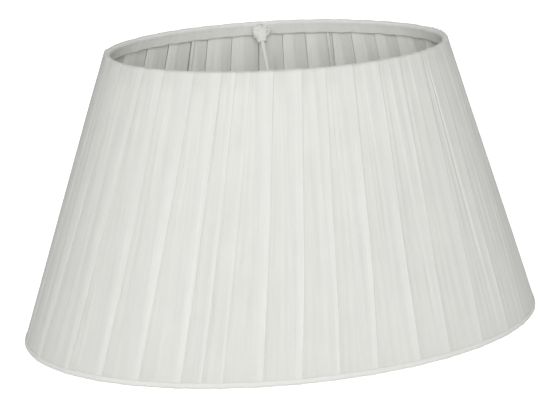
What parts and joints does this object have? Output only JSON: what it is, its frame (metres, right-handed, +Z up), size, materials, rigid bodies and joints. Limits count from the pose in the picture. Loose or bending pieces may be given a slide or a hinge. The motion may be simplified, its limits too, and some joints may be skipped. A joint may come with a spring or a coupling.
{
  "type": "lamp shade",
  "caption": "Oval tapered lamp shade of knife-pleated sheer cloth on a wire frame, with a recessed two-arm fitter and lift-out reducer ring.",
  "frame": {"origin": "on the ground under the middle of the shade, in the plane of the bottom hem's underside", "axes": "+Z up through the top opening, +X along the long axis of the oval, -Y towards the front"},
  "size_m": [0.35, 0.2, 0.191],
  "materials": {
    "frame_wire": "satin off-white powder coat",
    "fitter_steel": "satin off-white powder coat",
    "reducer_plastic": "plain moulded white plastic",
    "pleated_chiffon": "sheer off-white chiffon in knife pleats",
    "hem_chiffon": "folded off-white chiffon hem"
  },
  "bodies": {
    "shade": {"bottom_ring": "frame_wire", "top_ring": "frame_wire", "strut_1": "frame_wire", "strut_2": "frame_wire", "strut_3": "frame_wire", "strut_4": "frame_wire", "strut_5": "frame_wire", "strut_6": "frame_wire", "back_arm": "frame_wire", "front_arm": "frame_wire", "fitter_ring": "fitter_steel", "pleated_cover": "pleated_chiffon", "top_hem": "hem_chiffon", "bottom_hem": "hem_chiffon"},
    "reducer": {"reducer_ring": "reducer_plastic"}
  },
  "joints": [
    {"name": "reducer_lift", "type": "slide", "parent": "shade", "child": "reducer", "axis": [0, 0, 1], "range_m": [0, 0.01]}
  ]
}
